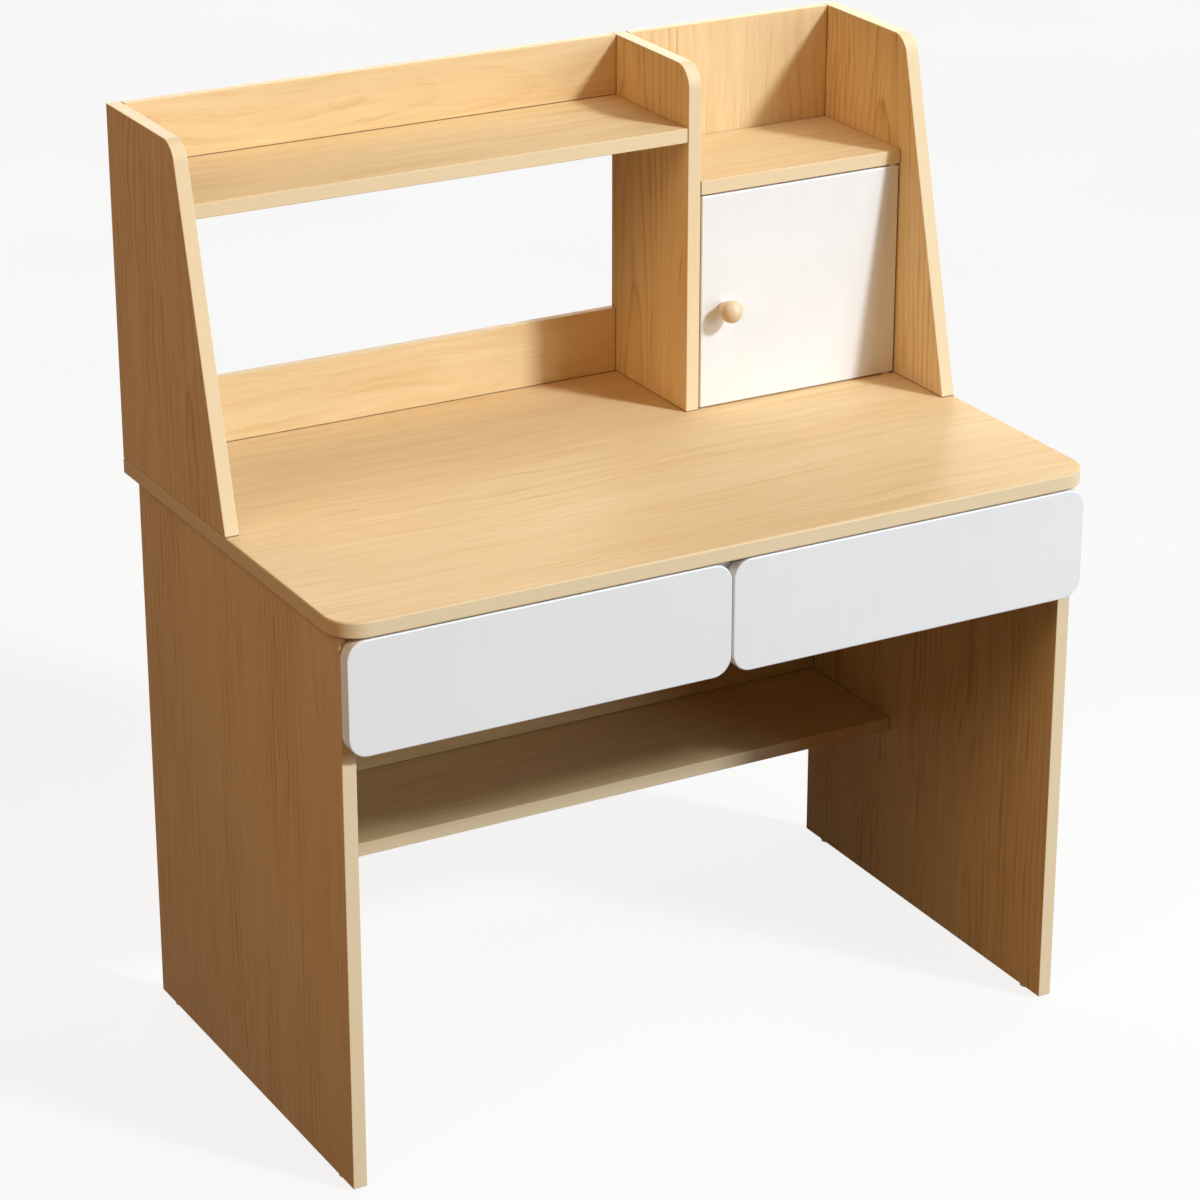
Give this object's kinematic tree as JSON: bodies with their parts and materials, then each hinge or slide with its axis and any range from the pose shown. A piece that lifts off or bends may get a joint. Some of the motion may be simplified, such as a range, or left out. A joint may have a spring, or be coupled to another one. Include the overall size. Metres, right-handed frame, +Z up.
{
  "type": "student desk with hutch",
  "caption": "Flat-board student desk with a hutch of open shelves and a hinged cupboard, and drawers on telescopic slides under its desktop.",
  "frame": {"origin": "on the floor under the middle of the desktop", "axes": "+X to the user's right, -Y towards the user, +Z up"},
  "size_m": [1, 0.6, 1.16],
  "materials": {
    "oak_laminate": "satin woodgrain laminate",
    "white_lacquer": "satin white lacquer",
    "turned_beech": "turned, clear matt lacquer",
    "dowel_beech": "bare beech",
    "drawer_board": "white melamine",
    "hardboard": "white-faced hardboard",
    "nylon": "moulded nylon",
    "zinc_alloy": "die-cast zinc",
    "slide_steel": "zinc-plated sheet steel",
    "plated_steel": "zinc plated"
  },
  "bodies": {
    "desk": {"cabinet_rail_screws": "plated_steel", "cam_bolts": "zinc_alloy", "cam_locks": "zinc_alloy", "catch_screws": "plated_steel", "cupboard_back": "oak_laminate", "cupboard_shelf": "oak_laminate", "desktop": "oak_laminate", "drawer_partition": "white_lacquer", "foot_glides": "nylon", "hutch_divider": "oak_laminate", "hutch_left_side": "oak_laminate", "hutch_right_side": "oak_laminate", "left_drawer_left_cabinet_rail": "slide_steel", "left_drawer_right_cabinet_rail": "slide_steel", "left_leg": "oak_laminate", "lower_back_panel": "oak_laminate", "lower_back_rail": "oak_laminate", "lower_shelf": "oak_laminate", "magnetic_catch": "nylon", "pivot_bushes": "nylon", "right_drawer_left_cabinet_rail": "slide_steel", "right_drawer_right_cabinet_rail": "slide_steel", "right_leg": "oak_laminate", "upper_back_rail": "oak_laminate", "upper_shelf": "oak_laminate", "wood_dowels": "dowel_beech"},
    "left_drawer": {"left_drawer_back": "drawer_board", "left_drawer_bottom": "hardboard", "left_drawer_box_screws": "plated_steel", "left_drawer_dowels": "dowel_beech", "left_drawer_front": "white_lacquer", "left_drawer_left_drawer_rail": "slide_steel", "left_drawer_left_side": "drawer_board", "left_drawer_rail_screws": "plated_steel", "left_drawer_right_drawer_rail": "slide_steel", "left_drawer_right_side": "drawer_board"},
    "left_drawer_middle_rails": {"left_drawer_left_middle_rail": "slide_steel", "left_drawer_right_middle_rail": "slide_steel"},
    "left_drawer_outer_cages": {"left_drawer_outer_cages": "slide_steel"},
    "left_drawer_inner_cages": {"left_drawer_inner_cages": "slide_steel"},
    "right_drawer": {"right_drawer_back": "drawer_board", "right_drawer_bottom": "hardboard", "right_drawer_box_screws": "plated_steel", "right_drawer_dowels": "dowel_beech", "right_drawer_front": "white_lacquer", "right_drawer_left_drawer_rail": "slide_steel", "right_drawer_left_side": "drawer_board", "right_drawer_rail_screws": "plated_steel", "right_drawer_right_drawer_rail": "slide_steel", "right_drawer_right_side": "drawer_board"},
    "right_drawer_middle_rails": {"right_drawer_left_middle_rail": "slide_steel", "right_drawer_right_middle_rail": "slide_steel"},
    "right_drawer_outer_cages": {"right_drawer_outer_cages": "slide_steel"},
    "right_drawer_inner_cages": {"right_drawer_inner_cages": "slide_steel"},
    "cupboard_door": {"cupboard_door": "white_lacquer", "door_knob": "turned_beech", "door_pivot_pins": "plated_steel", "knob_screw": "plated_steel", "strike_plate": "plated_steel"}
  },
  "joints": [
    {"name": "left_drawer_slide", "type": "slide", "parent": "desk", "child": "left_drawer", "axis": [0, -1, 0], "range_m": [0, 0.38]},
    {"name": "left_drawer_middle_rails_slide", "type": "slide", "parent": "desk", "child": "left_drawer_middle_rails", "axis": [0, -1, 0], "range_m": [0, 0.19]},
    {"name": "left_drawer_outer_cages_slide", "type": "slide", "parent": "desk", "child": "left_drawer_outer_cages", "axis": [0, -1, 0], "range_m": [0, 0.095]},
    {"name": "left_drawer_inner_cages_slide", "type": "slide", "parent": "desk", "child": "left_drawer_inner_cages", "axis": [0, -1, 0], "range_m": [0, 0.285]},
    {"name": "right_drawer_slide", "type": "slide", "parent": "desk", "child": "right_drawer", "axis": [0, -1, 0], "range_m": [0, 0.38]},
    {"name": "right_drawer_middle_rails_slide", "type": "slide", "parent": "desk", "child": "right_drawer_middle_rails", "axis": [0, -1, 0], "range_m": [0, 0.19]},
    {"name": "right_drawer_outer_cages_slide", "type": "slide", "parent": "desk", "child": "right_drawer_outer_cages", "axis": [0, -1, 0], "range_m": [0, 0.095]},
    {"name": "right_drawer_inner_cages_slide", "type": "slide", "parent": "desk", "child": "right_drawer_inner_cages", "axis": [0, -1, 0], "range_m": [0, 0.285]},
    {"name": "cupboard_door_hinge", "type": "hinge", "parent": "desk", "child": "cupboard_door", "pos_m": [0.471, 0.117, 0.8585], "axis": [0, 0, 1], "range_deg": [0, 90]}
  ],
  "couplings": [
    {"joint": "left_drawer_middle_rails_slide", "follows": "left_drawer_slide", "ratio": 0.5},
    {"joint": "left_drawer_outer_cages_slide", "follows": "left_drawer_slide", "ratio": 0.25},
    {"joint": "left_drawer_inner_cages_slide", "follows": "left_drawer_slide", "ratio": 0.75},
    {"joint": "right_drawer_middle_rails_slide", "follows": "right_drawer_slide", "ratio": 0.5},
    {"joint": "right_drawer_outer_cages_slide", "follows": "right_drawer_slide", "ratio": 0.25},
    {"joint": "right_drawer_inner_cages_slide", "follows": "right_drawer_slide", "ratio": 0.75}
  ]
}
